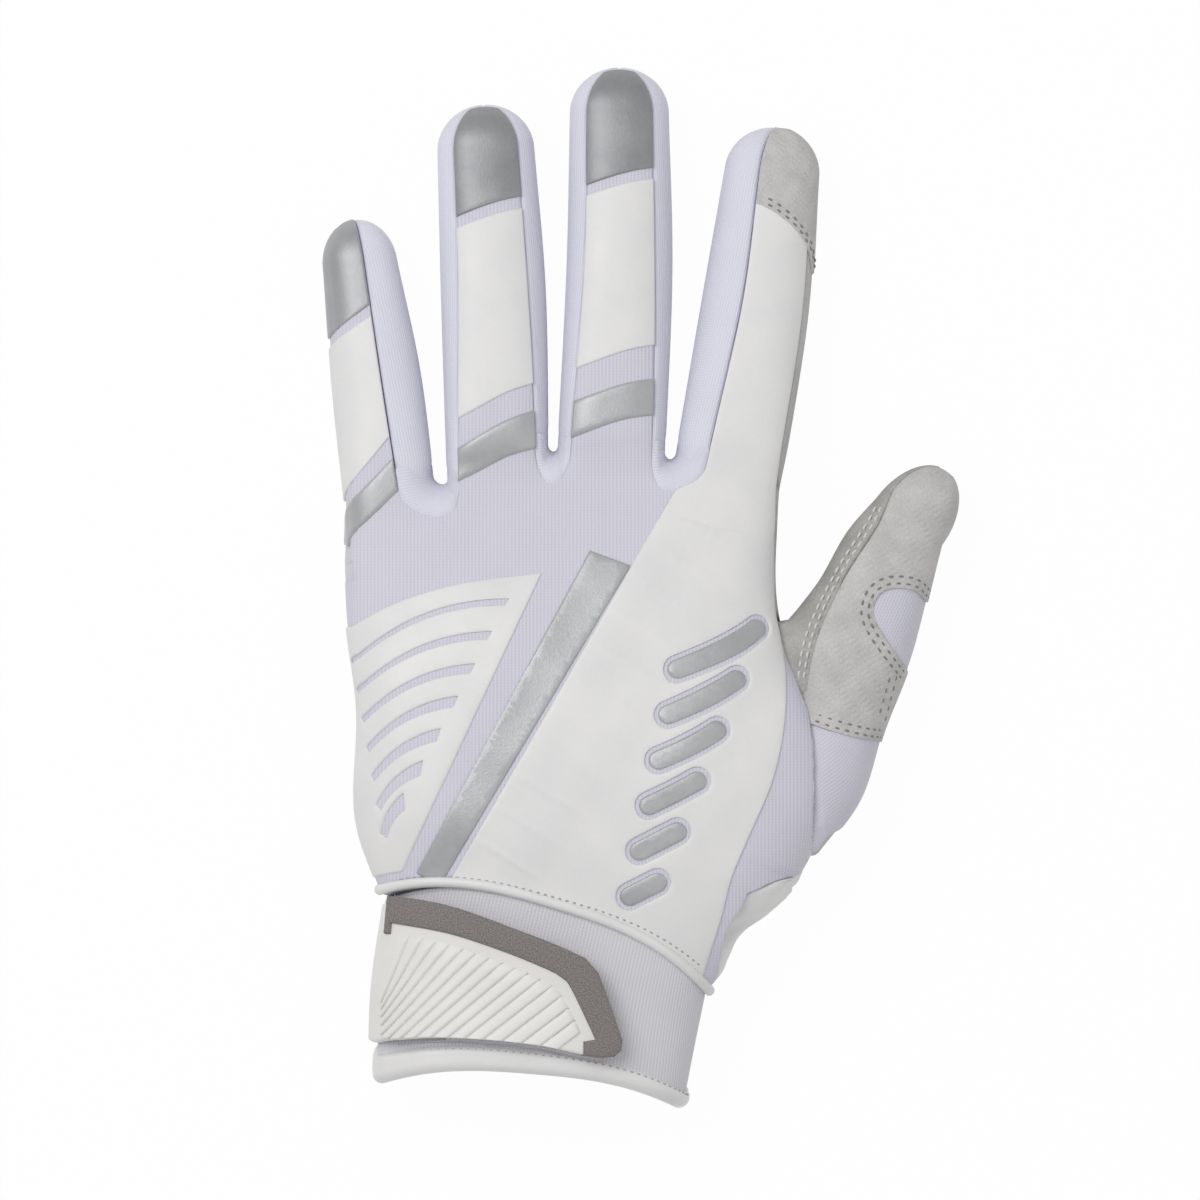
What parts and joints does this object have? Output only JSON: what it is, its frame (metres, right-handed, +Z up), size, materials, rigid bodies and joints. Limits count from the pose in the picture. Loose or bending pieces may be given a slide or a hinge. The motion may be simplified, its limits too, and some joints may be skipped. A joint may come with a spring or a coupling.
{
  "type": "batting glove",
  "caption": "Left-hand batting glove lying palm down: knit back and side gussets, leather palm and thumb, bonded films, and a ribbed hook-and-loop wrist strap that peels open.",
  "frame": {"origin": "on the resting plane, under the middle of the palm", "axes": "+Y to the fingertips, +X to the thumb, +Z up through the back of the hand"},
  "size_m": [0.1295, 0.2081, 0.0342],
  "materials": {
    "knit": "fine lavender-white stretch knit",
    "white_film": "matte bonded white film with faint embossed lines",
    "silver_film": "satin silver film with fine grain",
    "leather": "pale grey pebbled leather",
    "white_synthetic": "smooth white synthetic leather",
    "white_binding": "rolled white binding",
    "white_rubber": "matte moulded white rubber with ribs",
    "grey_rubber": "speckled dark grey rubber",
    "pile": "hook-and-loop pile"
  },
  "bodies": {
    "hand": {"palm_leather": "leather", "palm_heel": "white_synthetic", "back_knit": "knit", "radial_overlay": "white_film", "ulnar_overlay": "white_film", "diagonal_stripe": "silver_film", "vent_bar_1": "silver_film", "vent_bar_2": "silver_film", "vent_bar_3": "silver_film", "vent_bar_4": "silver_film", "vent_bar_5": "silver_film", "vent_bar_6": "silver_film", "wrist_seam_binding": "white_binding", "back_cuff": "knit", "palm_cuff": "white_synthetic", "back_hem": "white_binding", "palm_hem": "white_binding", "loop_patch": "pile", "strap_anchor": "white_synthetic"},
    "little_finger": {"little_palm": "leather", "little_back": "knit", "little_gusset_radial": "knit", "little_tip_film": "silver_film", "little_white_film": "white_film", "little_bar_film": "silver_film"},
    "ring_finger": {"ring_palm": "leather", "ring_back": "knit", "ring_gusset_radial": "knit", "ring_gusset_ulnar": "knit", "ring_tip_film": "silver_film", "ring_white_film": "white_film", "ring_bar_film": "silver_film"},
    "middle_finger": {"middle_palm": "leather", "middle_back": "knit", "middle_gusset_radial": "knit", "middle_gusset_ulnar": "knit", "middle_tip_film": "silver_film", "middle_white_film": "white_film", "middle_bar_film": "silver_film"},
    "index_finger": {"index_palm": "leather", "index_back": "knit", "index_gusset_ulnar": "knit", "index_tip_wrap": "leather", "index_white_film": "white_film"},
    "thumb": {"thumb_knit_back": "knit", "thumb_palm": "leather", "thumb_leather_wrap": "leather", "thumb_inner_band": "leather"},
    "strap": {"strap_body": "white_rubber", "strap_frame": "grey_rubber", "hook_patch": "pile"}
  },
  "joints": [
    {"name": "little_flex", "type": "hinge", "parent": "hand", "child": "little_finger", "pos_m": [-0.0358, 0.03, 0], "axis": [-0.9938, -0.1115, 0], "range_deg": [0, 75]},
    {"name": "ring_flex", "type": "hinge", "parent": "hand", "child": "ring_finger", "pos_m": [-0.0149, 0.041, 0], "axis": [-0.9998, -0.0192, 0], "range_deg": [0, 75]},
    {"name": "middle_flex", "type": "hinge", "parent": "hand", "child": "middle_finger", "pos_m": [0.0077, 0.0424, 0], "axis": [-0.999, 0.0454, 0], "range_deg": [0, 75]},
    {"name": "index_flex", "type": "hinge", "parent": "hand", "child": "index_finger", "pos_m": [0.0312, 0.0404, 0], "axis": [-0.9882, 0.153, 0], "range_deg": [0, 75]},
    {"name": "thumb_fold", "type": "hinge", "parent": "hand", "child": "thumb", "pos_m": [0.04669, -0.01235, 0], "axis": [-0.1219, 0.9925, 0], "range_deg": [0, 55]},
    {"name": "strap_peel", "type": "hinge", "parent": "hand", "child": "strap", "pos_m": [-0.0404, -0.057, 0.00974], "axis": [-0.102, -0.9946, -0.0167], "range_deg": [0, 150]}
  ]
}
